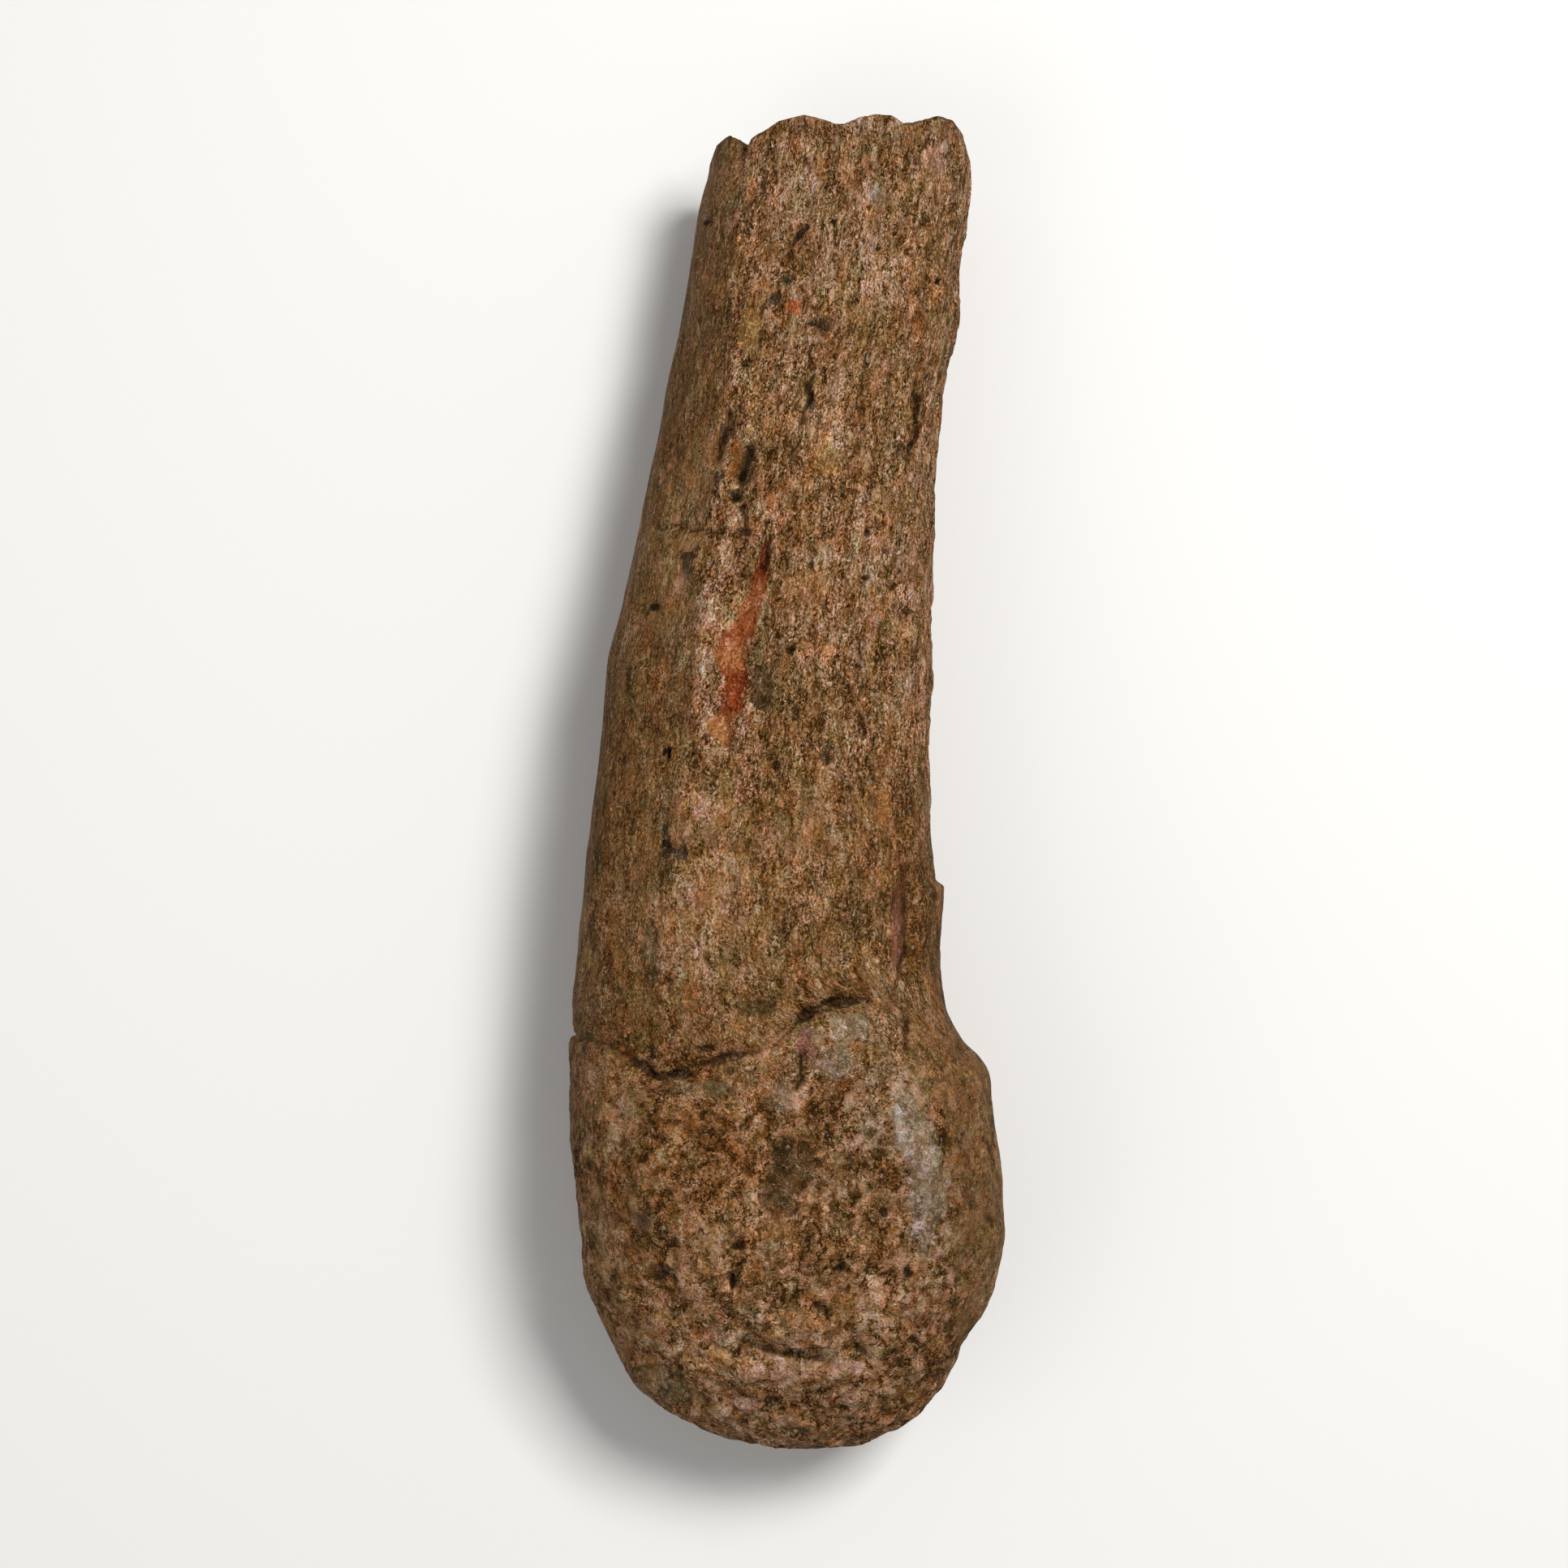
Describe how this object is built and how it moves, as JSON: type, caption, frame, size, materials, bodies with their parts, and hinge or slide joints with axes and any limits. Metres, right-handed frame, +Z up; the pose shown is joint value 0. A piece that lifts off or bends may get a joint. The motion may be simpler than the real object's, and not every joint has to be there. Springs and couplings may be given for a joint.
{
  "type": "fossil dinosaur limb bone",
  "caption": "Fossil dinosaur limb bone lying on its back: a shaft broken across at one end, widening into a rounded, pitted knuckle below a zigzag fracture.",
  "frame": {"origin": "on the surface the bone lies on, under the middle of its length and width", "axes": "+Y along the bone from the knuckle to the broken end, +Z up out of the side that shows, +X towards the flange and the larger knuckle"},
  "size_m": [0.0782, 0.2384, 0.0554],
  "materials": {
    "fossil_bone": "weathered, fibrous and pitted, dull"
  },
  "bodies": {
    "root": {"bone": "fossil_bone"}
  },
  "joints": []
}
